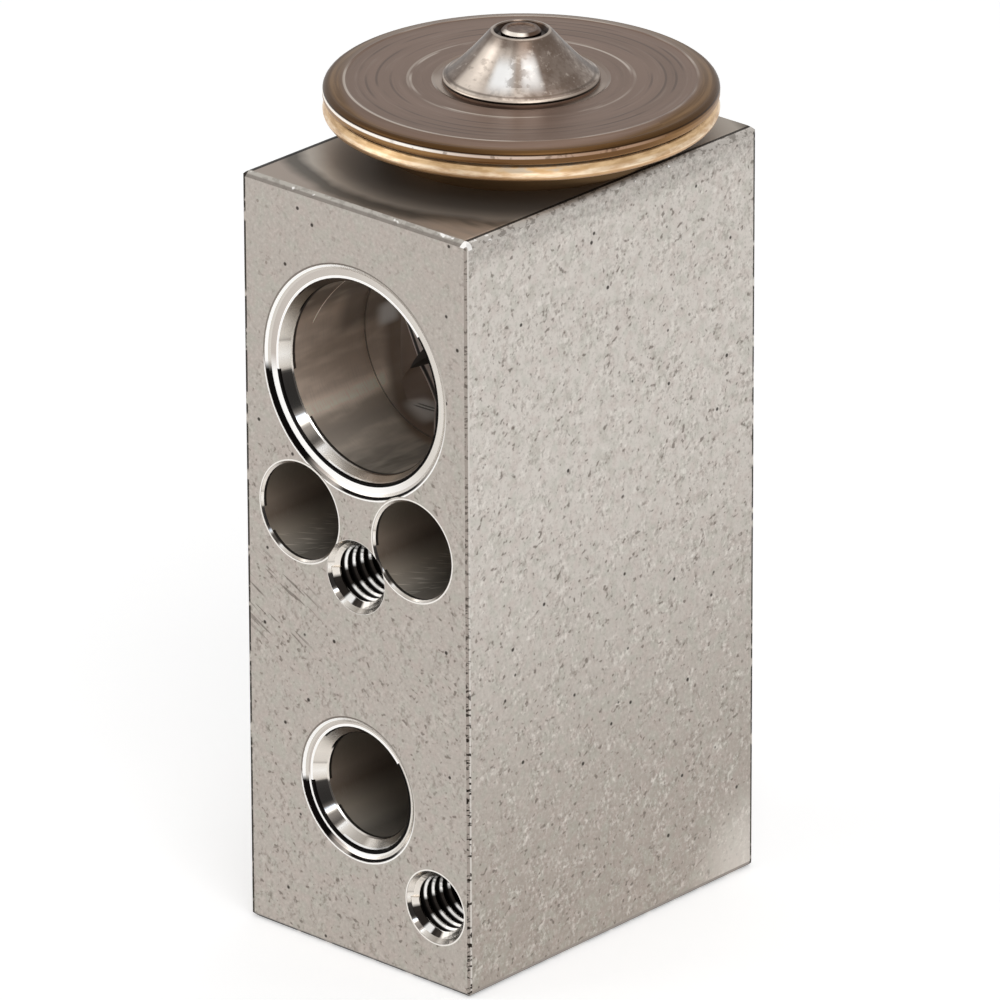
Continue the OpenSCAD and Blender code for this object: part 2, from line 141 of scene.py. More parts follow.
class Finish:
    """A node material being put together. Each method adds a node and returns its output."""

    def __init__(self, name):
        self.material = bpy.data.materials.new(name)
        self.material.use_nodes = True
        self.nodes = self.material.node_tree.nodes
        self.links = self.material.node_tree.links
        self.nodes.clear()
        self.output = self.nodes.new("ShaderNodeOutputMaterial")
        self.shader = self.nodes.new("ShaderNodeBsdfPrincipled")
        self.links.new(self.shader.outputs[0], self.output.inputs[0])
        texture = self.nodes.new("ShaderNodeTexCoord")
        self.place = texture.outputs["Object"]
        self.x, self.y, self.z = self.split(self.place)
        self.facing = self.split(texture.outputs["Normal"])

    def feed(self, socket, value):
        if isinstance(value, bpy.types.NodeSocket):
            self.links.new(value, socket)
        else:
            socket.default_value = value

    def add(self, kind, values=(), **settings):
        node = self.nodes.new(kind)
        for key, value in settings.items():
            setattr(node, key, value)
        for socket, value in zip(node.inputs, values):
            self.feed(socket, value)
        return node

    def split(self, vector):
        return tuple(self.add("ShaderNodeSeparateXYZ", [vector]).outputs)

    def math(self, operation, a, b=0.0):
        return self.add("ShaderNodeMath", [a, b], operation=operation).outputs[0]

    def times(self, value, factor):
        return self.math("MULTIPLY", value, factor)

    def minus(self, a, b):
        return self.math("SUBTRACT", a, b)

    def less(self, a, b):
        return self.math("LESS_THAN", a, b)

    def more(self, a, b):
        return self.math("GREATER_THAN", a, b)

    def both(self, *masks):
        """Product of masks."""
        product = masks[0]
        for mask in masks[1:]:
            product = self.times(product, mask)
        return product

    def either(self, *masks):
        """Largest of masks."""
        largest = masks[0]
        for mask in masks[1:]:
            largest = self.math("MAXIMUM", largest, mask)
        return largest

    def other(self, mask):
        return self.minus(1.0, mask)

    def unsigned(self, value):
        """Value without its sign."""
        return self.math("ABSOLUTE", value)

    def between(self, value, low, high):
        """1 where value is from low to high."""
        return self.both(self.more(value, low), self.less(value, high))

    def fade(self, value, low, high, start=0.0, end=1.0):
        """Smooth step of value, from start at low to end at high."""
        node = self.add("ShaderNodeMapRange", interpolation_type="SMOOTHSTEP")
        for socket, number in zip(node.inputs, [value, low, high, start, end]):
            self.feed(socket, number)
        return node.outputs[0]

    def line(self, value, middle, half, soft):
        """1 on a line about middle, fading to 0 over soft outside half."""
        away = self.unsigned(self.minus(value, middle))
        return self.fade(away, half + soft, half)

    def mix(self, factor, a, b, blend="MIX"):
        node = self.add("ShaderNodeMix", data_type="RGBA", blend_type=blend)
        self.feed(node.inputs[0], factor)
        self.feed(node.inputs[6], a)
        self.feed(node.inputs[7], b)
        return node.outputs[2]

    def tint(self, share, mask, a, b):
        """Colour a, turned towards b by share where mask is 1."""
        return self.mix(self.times(mask, share), a, b)

    def blend(self, factor, a, b):
        node = self.add("ShaderNodeMix", data_type="FLOAT")
        self.feed(node.inputs[0], factor)
        self.feed(node.inputs[2], a)
        self.feed(node.inputs[3], b)
        return node.outputs[0]

    def turned(self, angle, stretch):
        """Place turned by angle, with patterns stretched along each turned axis."""
        node = self.add("ShaderNodeMapping", vector_type="TEXTURE")
        self.feed(node.inputs["Vector"], self.place)
        node.inputs["Rotation"].default_value = [math.radians(a) for a in angle]
        node.inputs["Scale"].default_value = stretch
        return node.outputs[0]

    def joined(self, x, y, z):
        return self.add("ShaderNodeCombineXYZ", [x, y, z]).outputs[0]

    def noise(self, size, detail=2.0, rough=0.5, place=None):
        """Noise from 0 to 1 whose patches are about size wide."""
        node = self.add("ShaderNodeTexNoise")
        self.feed(node.inputs["Vector"], place or self.place)
        node.inputs["Scale"].default_value = 1 / size
        node.inputs["Detail"].default_value = detail
        node.inputs["Roughness"].default_value = rough
        return node.outputs["Fac"]

    def spots(self, spacing, radius, share):
        """1 inside round spots about radius wide, in this share of cells as wide as spacing."""
        node = self.add("ShaderNodeTexVoronoi")
        self.feed(node.inputs["Vector"], self.place)
        node.inputs["Scale"].default_value = 1 / spacing
        inside = self.fade(node.outputs["Distance"], radius / spacing, 0.5 * radius / spacing)
        red = self.add("ShaderNodeSeparateColor", [node.outputs["Color"]]).outputs[0]
        return self.both(inside, self.less(red, share))

    def ramp(self, value, stops):
        """Colour ramp with stops of (position, grey or colour)."""
        node = self.add("ShaderNodeValToRGB", [value])
        elements = node.color_ramp.elements
        while len(elements) > 1:
            elements.remove(elements[-1])
        for index, (position, colour) in enumerate(stops):
            element = elements[0] if index == 0 else elements.new(position)
            element.position = position
            element.color = colour
        return node.outputs[0]

    def dial(self, angle, stops):
        """Colour ramp round a hole, with stops of (degrees, colour)."""
        return self.ramp(angle, [(degrees / 360, colour) for degrees, colour in stops])

    def radius(self, x, y):
        return self.math("SQRT", self.math("ADD", self.both(x, x), self.both(y, y)))

    def angle(self, x, y):
        """Angle of (x, y) as a share of the way round, from 0 to 1."""
        return self.math("FRACT", self.math("DIVIDE", self.math("ARCTAN2", y, x), 2 * math.pi))

    def lobe(self, angle, middle, inner, outer):
        """1 within inner degrees of middle, fading to 0 at outer degrees."""
        turn = self.times(self.minus(angle, middle / 360), 2 * math.pi)
        level = self.math("COSINE", turn)
        return self.fade(level, math.cos(math.radians(outer)), math.cos(math.radians(inner)))

    def bump(self, height, strength, distance):
        node = self.add("ShaderNodeBump")
        node.inputs["Strength"].default_value = strength
        node.inputs["Distance"].default_value = distance
        self.feed(node.inputs["Height"], height)
        return node.outputs[0]

    def set(self, colour, metallic, roughness, normal=None):
        self.feed(self.shader.inputs["Base Color"], colour)
        self.feed(self.shader.inputs["Metallic"], metallic)
        self.feed(self.shader.inputs["Roughness"], roughness)
        if normal:
            self.feed(self.shader.inputs["Normal"], normal)
        return self.material


white = linear(250, 248, 245)
cream = linear(228, 221, 212)
pale = linear(208, 202, 194)
grey = linear(150, 143, 136)
deep_grey = linear(92, 87, 82)
dark = linear(44, 40, 37)
black = linear(16, 14, 13)

# A hole in the block: its axis, how far its finish reaches, its radius at the face, where its
# ring and its cone end, the inner radius of its ledge, how light its wall is, and whether it
# opens in the port face
Hole = namedtuple("Hole", "x z reach mouth_r ring_depth cone_depth ledge_r wall front")


def port(name, mouth_r, ledge_r, wall, front):
    x, _, z = mounts[name]["pos_m"]
    reach = mouth_r + port_margin
    return Hole(x, z, reach, mouth_r, port_ring_depth, port_cone_depth, ledge_r, wall, front)


def bolt_holes(front):
    x, _, z = mounts["mounting_bolts"]["pos_m"]
    half = mounts["mounting_bolts"]["dims"]["spacing_x_mm"] * MM / 2
    mouth_r = 4.6 * MM
    reach = mouth_r + 0.25 * MM
    edge = 0.2 * MM
    return [
        Hole(x + side * half, z, reach, mouth_r, 0, edge, 0, bolt_wall, front) for side in (-1, 1)
    ]


def stud_hole(name, reach):
    x, _, z = mounts[name]["pos_m"]
    mouth_r = 3.35 * MM
    countersink = 0.5 * MM
    return Hole(x, z, reach, mouth_r, 0, countersink, 0, stud_wall, True)


holes = [
    port("suction_outlet", 10.5 * MM, 9.2 * MM, suction_wall, True),
    port("liquid_inlet", 6.6 * MM, 5.7 * MM, liquid_wall, True),
    port("suction_inlet", 10.5 * MM, 9.2 * MM, suction_wall, False),
    port("liquid_outlet", 7.2 * MM, 6.3 * MM, liquid_wall, False),
    *bolt_holes(True),
    *bolt_holes(False),
    stud_hole("line_stud_hole", 3.38 * MM),
    stud_hole("low_stud_hole", 3.6 * MM),
]


def about_holes(f):
    """What the surface needs to know of the nearest hole: its offset and its measures."""
    in_front = f.less(f.y, 0.0)
    found = [f.x, f.z, 0.0, 0.0, 0.0, 0.0, other_wall]
    for hole in holes:
        here_x = f.minus(f.x, hole.x)
        here_z = f.minus(f.z, hole.z)
        near = f.less(f.radius(here_x, here_z), hole.reach)
        near = f.both(near, in_front if hole.front else f.other(in_front))
        values = [
            here_x, here_z, hole.mouth_r, hole.ring_depth, hole.cone_depth, hole.ledge_r, hole.wall
        ]
        found = [f.blend(near, old, new) for old, new in zip(found, values)]
    return found


def ring_colour(f, angle, depth):
    """Chamfered ring at a port's mouth in painted reflections: bright to the left, a dark crescent
    below.
    """
    inner = f.dial(angle, [
        (0, pale), (60, linear(196, 188, 180)), (95, linear(204, 197, 189)), (184, pale),
        (189, black), (236, black), (244, linear(190, 178, 170)), (262, cream), (330, cream),
        (360, pale),
    ])
    outer = f.dial(angle, [
        (0, pale), (55, grey), (75, pale), (92, white), (184, white), (188, black), (236, black),
        (244, grey), (256, grey), (262, black), (312, black), (332, cream), (360, pale),
    ])
    return f.mix(f.less(depth, 0.18 * MM), inner, outer)


def ledge_colour(f, angle, radius, ledge_r):
    """Flat ledge for a seal in painted reflections: bright, with an inner edge line of painted shade
    over the top and left and painted highlight elsewhere.
    """
    colour = f.dial(angle, [
        (0, linear(216, 210, 202)), (60, linear(208, 202, 194)), (100, linear(196, 188, 180)),
        (180, linear(192, 183, 175)), (190, white), (285, white), (320, linear(214, 208, 200)),
        (360, linear(216, 210, 202)),
    ])
    inner = f.less(f.minus(radius, ledge_r), 0.22 * MM)
    left = f.between(angle, 40 / 360, 188 / 360)
    return f.mix(inner, colour, f.mix(left, black, white))


def cone_colour(f, angle, depth, ring_depth, cone_depth, wide):
    """Turned cone: painted reflections of the light and dark sectors that it mirrors, between two
    edge lines of painted shade and painted highlight.
    """
    colour = f.dial(angle, [
        (0, linear(120, 113, 106)), (40, deep_grey), (90, linear(70, 64, 58)), (128, deep_grey),
        (146, linear(178, 170, 160)), (158, cream), (170, linear(214, 207, 198)), (171, grey),
        (172.5, cream), (180, linear(238, 234, 228)), (188, linear(206, 198, 188)),
        (190, linear(58, 55, 53)), (211, linear(50, 48, 46)), (215, deep_grey),
        (217, linear(206, 212, 220)), (218.5, linear(244, 247, 251)), (220, pale),
        (222.5, deep_grey), (233, linear(74, 70, 66)), (236, grey), (238, white), (244, cream),
        (256, linear(196, 189, 180)), (268, linear(176, 168, 158)), (275, cream), (305, pale),
        (330, deep_grey), (360, linear(120, 113, 106)),
    ])
    light = f.both(f.other(wide), f.between(angle, 98 / 360, 160 / 360))
    colour = f.tint(0.8, light, colour, cream)
    from_ring = f.minus(depth, ring_depth)
    ringed = f.more(ring_depth, 0.01 * MM)
    dark_end = 0.17 * MM
    light_end = 0.32 * MM
    left = f.between(angle, 138 / 360, 188 / 360)
    dark_line = f.both(f.less(from_ring, dark_end), f.other(left))
    colour = f.mix(f.both(ringed, dark_line), colour, black)
    below = f.between(angle, 246 / 360, 325 / 360)
    light_line = f.both(f.between(from_ring, dark_end, light_end), below)
    colour = f.mix(f.both(ringed, light_line), colour, white)
    lip = f.more(depth, f.minus(cone_depth, 0.14 * MM))
    lip_colour = f.dial(angle, [
        (0, dark), (150, black), (154, cream), (189, cream), (192, linear(84, 80, 76)),
        (216, deep_grey), (221, white), (262, cream), (270, grey), (300, dark), (360, dark),
    ])
    return f.mix(f.both(ringed, lip), colour, lip_colour)


def bore_colour(f, angle, depth, wide, wall, bolted):
    """Bored wall: bands of painted reflection along a wide bore, a plainer painted shade in a narrow
    one, fine feed lines.
    """
    bands = f.dial(angle, [
        (0, linear(62, 56, 50)), (100, linear(58, 51, 44)), (150, linear(74, 65, 57)),
        (161, linear(116, 103, 92)), (170, linear(114, 102, 92)), (190, linear(104, 92, 82)),
        (208, linear(121, 109, 99)), (213, linear(146, 135, 124)), (218, linear(148, 138, 127)),
        (223, linear(108, 99, 90)), (232, linear(100, 93, 86)), (244, linear(110, 103, 95)),
        (256, linear(84, 79, 73)), (270, linear(64, 61, 56)), (360, linear(62, 56, 50)),
    ])
    shade = f.dial(angle, [
        (0, linear(60, 55, 50)), (130, linear(62, 56, 49)), (160, linear(76, 69, 61)),
        (185, linear(92, 82, 73)), (203, linear(76, 67, 59)), (226, linear(104, 97, 88)),
        (246, linear(100, 95, 88)), (262, linear(72, 69, 64)), (290, linear(62, 58, 54)),
        (360, linear(60, 55, 50)),
    ])
    bands = f.mix(wide, shade, bands)
    round_wall = f.joined(f.times(angle, 30 * MM), f.times(depth, 0.15), 0.0)
    streaks = f.noise(0.9 * MM, 2, 0.6, round_wall)
    feed = f.noise(0.16 * MM, 2, 0.5, f.joined(depth, f.times(angle, 6 * MM), 0.0))
    colour = f.tint(0.1, f.both(wide, f.fade(streaks, 0.42, 0.7)), bands, linear(205, 193, 180))
    colour = f.tint(0.2, f.fade(feed, 0.45, 0.75), colour, linear(95, 88, 81))
    # Painted shade high in a wide bore, deep inside
    inner_top = f.both(wide, f.lobe(angle, 150, 24, 34), f.fade(depth, 6.5 * MM, 8.5 * MM))
    colour = f.tint(0.6, inner_top, colour, linear(52, 45, 38))

    # Light scratches: one across the wide bore, a bundle low in the bolt holes
    scratch_angle = 160
    scratch_depth = 4.1 * MM
    scratch_lean = 18 / MM
    across = f.math("ADD", angle, f.times(depth, scratch_lean / 360))
    scratch = f.line(across, (scratch_angle + scratch_lean * scratch_depth) / 360, 0.0012, 0.002)
    scratch = f.both(wide, scratch, f.between(depth, 3.8 * MM, 6.6 * MM))
    colour = f.tint(0.75, scratch, colour, linear(226, 210, 196))
    tilted = f.math("ADD", f.times(angle, 30 * MM), f.times(depth, -0.5))
    bundle = f.noise(0.2 * MM, 1, 0.4, f.joined(tilted, f.times(depth, 0.1), 0.0))
    bundle = f.both(bolted, f.fade(bundle, 0.56, 0.7), f.lobe(angle, 250, 8, 30))
    colour = f.tint(0.2, bundle, colour, linear(190, 184, 174))
    # Painted light and shade: the wall scaled by its hole's factor
    return f.mix(1.0, colour, f.joined(wall, wall, wall), "MULTIPLY")


def socket_colour(f, angle, depth, front_depth, from_axis, bore):
    """Bore with painted brown shade where the upright socket crosses it, painted glows, and a pale
    lens of painted light past that.
    """
    shade = linear(140, 118, 100)
    colour = f.tint(0.85, f.fade(from_axis, 12.4 * MM, 11.2 * MM), bore, shade)
    # Painted highlights: two glows on the socket's wall
    glows = (
        (178, 9, 13.4 * MM, 1.5 * MM),
        (243, 12, 13.1 * MM, 1.9 * MM),
    )
    for middle, width, at, soft in glows:
        glow = f.both(f.lobe(angle, middle, 2, width), f.line(depth, at, 0.4 * MM, soft))
        colour = f.tint(0.95, glow, colour, (1, 0.96, 0.92, 1))

    # Two short dark strokes beside the lower glow
    slope = f.minus(depth, f.times(angle, 50 * MM))
    for across in (-20.55 * MM, -20.05 * MM):
        stroke = f.both(f.line(slope, across, 0.06 * MM, 0.1 * MM), f.lobe(angle, 244, 4, 8))
        colour = f.tint(0.7, stroke, colour, dark)

    # Pale lens of painted light: its dark edge of painted shade lies at a depth that changes with the
    # angle round the bore
    wall_start, wall_lean = -5.84 * MM, 43.2 * MM
    floor_start, floor_lean = 53.56 * MM, -57.6 * MM
    past_wall = f.minus(front_depth, f.math("ADD", wall_start, f.times(angle, wall_lean)))
    past_floor = f.minus(front_depth, f.math("ADD", floor_start, f.times(angle, floor_lean)))
    on_floor = f.more(f.facing[2], 0.85)
    past = f.blend(on_floor, past_wall, past_floor)
    crossed = f.less(from_axis, 10.55 * MM)
    lens = f.mix(f.line(past, 0.0, 0.12 * MM, 0.2 * MM), (1, 0.9, 0.84, 1), dark)
    return f.mix(f.both(crossed, f.more(past, -0.4 * MM)), colour, lens)


def embossed(f, size, stretch, lean, step):
    """Small dents of a matt face, for a painted highlight on one side and painted shade on the other:
    above and below 0.
    """
    place = f.turned(lean, stretch)
    shift = (step, step, -step)
    shifted = f.add("ShaderNodeVectorMath", [place, shift], operation="ADD").outputs[0]
    return f.minus(f.noise(size, 2, 0.5, place), f.noise(size, 2, 0.5, shifted))


def from_near_corner(f):
    """Distance from the upright edge between the port face and the right face."""
    return f.radius(f.minus(f.x, side_x), f.minus(f.y, face_y))


def matt_colour(f):
    """Colour of the block's matt outer faces and their edges, and the height of their grain."""
    on_side = f.more(f.unsigned(f.facing[0]), 0.6)
    on_top = f.more(f.facing[2], 0.92)

    # Tones: the side faces painted lighter than the port face and the back, as painted light, and
    # darker towards the bottom
    side = f.mix(f.fade(f.z, 4 * MM, 50 * MM), linear(172, 163, 154), linear(211, 205, 198))
    end = linear(184, 176, 168)
    colour = f.mix(on_side, end, side)
    patches = f.noise(1.2 * MM, 2, 0.55)
    wider = f.noise(1.8 * MM, 2, 0.6)
    pink = f.fade(patches, 0.45, 0.65)
    green = f.fade(f.noise(1.3 * MM, 1, 0.6, f.turned((40, 20, 0), (1, 1, 1))), 0.48, 0.66)
    grain = f.noise(0.32 * MM, 2, 0.65)
    colour = f.tint(0.3, pink, colour, linear(190, 175, 168))
    colour = f.tint(0.3, green, colour, linear(178, 180, 168))
    colour = f.tint(0.35, f.fade(grain, 0.5, 0.72), colour, linear(162, 154, 145))
    colour = f.tint(0.3, f.fade(grain, 0.5, 0.28), colour, linear(214, 208, 200))

    # Marks
    patchy = f.fade(wider, 0.40, 0.62)
    calm = f.both(f.other(on_side), f.fade(f.z, 40 * MM, 64 * MM))
    marked = f.other(f.times(calm, 0.6))
    patchy = f.both(patchy, marked)
    along = embossed(f, 0.62 * MM, (1, 1, 2.2), (-44, -66, 0), 0.12 * MM)
    across = embossed(f, 0.45 * MM, (1, 1, 1.6), (35, 30, 0), 0.09 * MM)
    light = f.mix(on_side, linear(204, 197, 189), linear(232, 227, 220))
    shadow = f.mix(on_side, linear(132, 123, 114), linear(140, 131, 122))
    # Painted highlight on the light side of each dent, painted shade on its dark side
    for dent in (along, across):
        colour = f.tint(0.42, f.both(patchy, f.fade(dent, 0.04, 0.18)), colour, light)
        colour = f.tint(0.45, f.both(patchy, f.fade(dent, -0.04, -0.18)), colour, shadow)
    slits = f.noise(0.45 * MM, 1, 0.4, f.turned((-44, -66, 0), (1, 1, 2.8)))
    slits = f.both(f.fade(slits, 0.62, 0.74), f.fade(patches, 0.42, 0.54))
    kinks = f.noise(0.42 * MM, 2, 0.5, f.turned((20, 25, 0), (1, 1, 2.2)))
    kinks = f.both(f.fade(kinks, 0.64, 0.76), f.fade(wider, 0.56, 0.44))
    specks = f.spots(1.9 * MM, 0.2 * MM, 1.0)
    pits = f.spots(2.7 * MM, 0.23 * MM, 1.0)
    colour = f.tint(0.7, f.both(marked, f.either(slits, kinks)), colour, linear(106, 97, 88))
    colour = f.tint(0.5, specks, colour, linear(112, 102, 92))
    colour = f.tint(0.9, pits, colour, linear(42, 36, 31))

    # Long scratches on the left of the port face, halfway up, and a worn far corner low down
    scores = f.fade(f.noise(0.36 * MM, 1, 0.4, f.turned((0, -62, 0), (1, 1, 9))), 0.62, 0.70)
    about = f.radius(f.minus(f.x, -9 * MM), f.minus(f.z, 31 * MM))
    scores = f.both(scores, f.fade(about, 6 * MM, 3 * MM), f.less(f.facing[1], -0.5))
    colour = f.tint(0.6, scores, colour, linear(92, 84, 76))
    far_corner = f.radius(f.minus(f.y, back_y), f.z)
    worn_corner = f.both(on_side, f.fade(far_corner, 10 * MM, 2 * MM))
    colour = f.tint(0.6, worn_corner, colour, linear(228, 222, 214))

    # Rough darker band under the long top edges
    rough_top = f.both(on_side, f.fade(f.z, block_top - 3.2 * MM, block_top - 1.4 * MM))
    rough_top = f.both(rough_top, f.fade(grain, 0.3, 0.7, 0.3, 1.0))
    colour = f.tint(0.5, rough_top, colour, linear(146, 141, 135))

    # Sawn top, smoother, with painted reflections: waves round the head that it mirrors, and light
    # streaks by the near corner
    from_head = f.radius(f.x, f.minus(f.y, axis_y))
    wavy = f.math("ADD", from_head, f.times(f.noise(4 * MM, 2, 0.5), 1.6 * MM))
    waves_end = 26 * MM
    top = f.ramp(f.math("DIVIDE", wavy, waves_end), [
        (0, linear(172, 160, 149)), (0.68, linear(166, 156, 146)), (0.745, linear(184, 176, 166)),
        (0.785, linear(104, 98, 91)), (0.81, linear(108, 102, 94)), (0.85, linear(166, 154, 144)),
        (1.0, linear(168, 156, 146)),
    ])
    saw_marks_and_sheen = f.noise(0.9 * MM, 2, 0.6, f.turned((0, 0, 0), (6, 1, 1)))
    corner = f.fade(from_near_corner(f), 9 * MM, 3 * MM)
    top = f.tint(0.7, f.both(corner, f.fade(saw_marks_and_sheen, 0.3, 0.7, 0.3, 1.0)), top, linear(196, 176, 158))
    top = f.tint(0.35, f.fade(f.y, 4 * MM, 14 * MM), top, linear(150, 138, 126))
    top = f.tint(0.8, f.spots(4.0 * MM, 0.2 * MM, 0.2), top, linear(215, 210, 203))
    colour = f.mix(on_top, colour, top)
    return edge_colours(f, colour, patches), f.both(grain, f.other(on_top))


def edge_colours(f, colour, patches):
    """Broken edges: nicked grey bands, painted highlights, and thin broken dark lines of painted
    shade where they turn away.
    """
    nx, ny, nz = f.facing
    nicks = f.fade(f.noise(0.6 * MM, 2, 0.5, f.turned((0, 0, 0), (1.8, 1.8, 1))), 0.64, 0.74)
    dents = f.fade(f.noise(0.8 * MM, 2, 0.7, f.turned((0, 0, 0), (1, 1, 0.55))), 0.50, 0.60)
    broken = f.fade(patches, 0.36, 0.46)

    # Top edge of the port face and the back, and the upright edges
    flat = f.both(f.more(f.unsigned(ny), 0.3), f.more(nz, 0.3))
    upright = f.both(f.more(f.unsigned(ny), 0.3), f.more(f.unsigned(nx), 0.3))
    low = f.fade(f.z, 50 * MM, 20 * MM)
    dent_colour = f.mix(low, linear(112, 104, 97), linear(46, 40, 35))
    upright_colour = f.mix(dents, linear(164, 155, 147), dent_colour)
    bare_line = f.more(f.unsigned(f.x), side_x - 0.1 * MM)
    bare_line = f.both(bare_line, f.other(f.both(dents, low)))
    upright_colour = f.tint(0.8, bare_line, upright_colour, linear(222, 217, 210))
    upper_half = f.fade(f.z, block_top - 0.32 * MM, block_top - 0.2 * MM)
    flat_colour = f.mix(upper_half, linear(138, 131, 124), linear(176, 171, 163))
    flat_colour = f.tint(0.35, dents, flat_colour, linear(116, 110, 103))
    flat_colour = f.tint(0.8, nicks, flat_colour, white)
    colour = f.mix(flat, colour, flat_colour)
    colour = f.mix(f.both(upright, f.other(flat)), colour, upright_colour)

    # Long top edges: painted shade as a dark line along the top, then a band of painted highlight
    # with worn nicks and dents
    turning = f.both(f.between(nz, 0.2, 0.97), f.more(f.unsigned(nx), 0.15))
    wear_and_highlight = f.tint(0.7, dents, f.mix(nicks, linear(196, 190, 183), white), linear(128, 121, 114))
    colour = f.mix(f.both(turning, f.less(nz, 0.9)), colour, wear_and_highlight)
    colour = f.tint(0.9, f.both(turning, f.more(nz, 0.86)), colour, dark)
    # Painted shade as a black line along the top left edge, and a painted highlight at the near top
    # corner
    left_line = f.both(f.less(f.x, 0.16 * MM + long_edge - side_x), f.more(nz, 0.92))
    colour = f.tint(0.9, left_line, colour, black)
    corner = f.both(f.less(from_near_corner(f), 0.75 * MM), f.between(nz, 0.1, 0.97))
    colour = f.tint(0.9, corner, colour, white)

    # Edges under the block, and the outer upright edges of the port face and the right face, with
    # thin broken lines of painted shade
    under = f.both(f.less(nz, -0.2), f.more(nz, -0.95))
    colour = f.mix(under, colour, linear(160, 152, 144))
    under = f.both(under, f.less(f.z, 0.28 * MM))
    rim_left = f.both(f.less(f.x, 0.16 * MM - side_x + upright_edge), f.less(ny, -0.6))
    rim_right = f.both(f.more(f.y, back_y - upright_edge - 0.14 * MM), f.more(nx, 0.6))
    outline = f.both(f.either(under, rim_left, rim_right), broken)
    return f.tint(0.9, outline, colour, linear(30, 26, 23))


def mouth_line(f, angle, ring_depth):
    """Line round a hole on the matt face: a painted highlight, but painted shade over the top of a
    port.
    """
    colour = f.dial(angle, [
        (0, pale), (50, grey), (100, linear(120, 112, 104)), (180, linear(140, 132, 124)),
        (188, white), (330, white), (360, pale),
    ])
    return f.mix(f.less(ring_depth, 0.01 * MM), colour, linear(240, 236, 230))


def block_finish():
    """Matt sawn and extruded aluminium, with bright cut ports in painted reflections and shade, and
    pitted, scored faces.
    """
    f = Finish("block_aluminium")
    front_depth = f.minus(f.y, face_y)
    depth = f.math("MINIMUM", front_depth, f.minus(back_y, f.y))
    dx, dz, mouth_r, ring_depth, cone_depth, ledge_r, wall = about_holes(f)
    angle = f.angle(dx, dz)
    radius = f.radius(dx, dz)

    # Everything that a drill or a cutter made, inside the block's outer faces
    within_x = f.between(f.x, upright_edge - side_x, side_x - upright_edge)
    within_y = f.more(depth, skin)
    within_z = f.between(f.z, long_edge, block_top - long_edge)
    cut = f.both(within_x, within_y, within_z)
    from_axis = f.radius(f.x, f.minus(f.y, axis_y))
    screw_mouth_r = 6.7 * MM
    mouth = f.both(f.less(from_axis, screw_mouth_r), f.between(f.z, skin, long_edge))

    # Wall of a hole by its depth: ring, ledge, cone, then bore
    wide = f.more(mouth_r, wide_r)
    bolted = f.between(mouth_r, 4 * MM, 5 * MM)
    bore = bore_colour(f, angle, depth, wide, wall, bolted)
    cone = cone_colour(f, angle, depth, ring_depth, cone_depth, wide)
    ledge = ledge_colour(f, angle, radius, ledge_r)
    ring = ring_colour(f, angle, depth)
    in_bore = f.more(depth, cone_depth)
    over_ledge = f.less(depth, f.minus(ring_depth, skin))
    on_ledge = f.less(depth, f.math("ADD", ring_depth, skin))
    on_ledge = f.both(on_ledge, f.more(ring_depth, skin))
    bore = f.mix(wide, bore, socket_colour(f, angle, depth, front_depth, from_axis, bore))
    past_lip = f.minus(depth, cone_depth)
    lip_shadow = f.both(f.less(past_lip, 0.32 * MM), f.other(f.between(angle, 190 / 360, 219 / 360)))
    bore = f.tint(0.9, lip_shadow, bore, black)
    step_face = f.both(f.less(f.facing[1], -0.7), f.more(past_lip, 1.0 * MM))
    bore = f.tint(0.85, step_face, bore, f.mix(wide, deep_grey, linear(84, 76, 68)))
    colour = f.mix(in_bore, cone, bore)
    colour = f.mix(on_ledge, colour, ledge)
    colour = f.mix(over_ledge, colour, ring)

    matt, height = matt_colour(f)
    round_hole = f.between(radius, mouth_r, f.math("ADD", mouth_r, 0.13 * MM))
    round_hole = f.both(round_hole, f.less(depth, skin))
    matt = f.mix(round_hole, matt, mouth_line(f, angle, ring_depth))
    colour = f.mix(cut, matt, colour)
    colour = f.mix(mouth, colour, pale)

    deep = f.both(cut, in_bore)
    metallic = f.blend(deep, 1.0, 0.35)
    roughness = f.blend(cut, 0.5, f.blend(in_bore, 0.24, 0.42))
    normal = f.bump(f.both(height, f.other(cut)), 0.3, 0.06 * MM)
    return f.set(colour, metallic, roughness, normal)


def head_place(f):
    """Radius from the head's axis and the angle round it, as a share of a turn."""
    y = f.minus(f.y, axis_y)
    return f.radius(f.x, y), f.angle(f.x, y)


def arc_lines(f, radius, angle, middle, half, seed):
    """A turned ring that fades out and comes back on its way round."""
    turn = f.times(angle, 2 * math.pi)
    across = f.times(f.math("COSINE", turn), 1.2)
    along = f.times(f.math("SINE", turn), 1.2)
    there = f.fade(f.noise(1.0, 2, 0.5, f.joined(across, along, seed)), 0.42, 0.58)
    return f.both(f.line(radius, middle, half, 0.1 * MM), there)


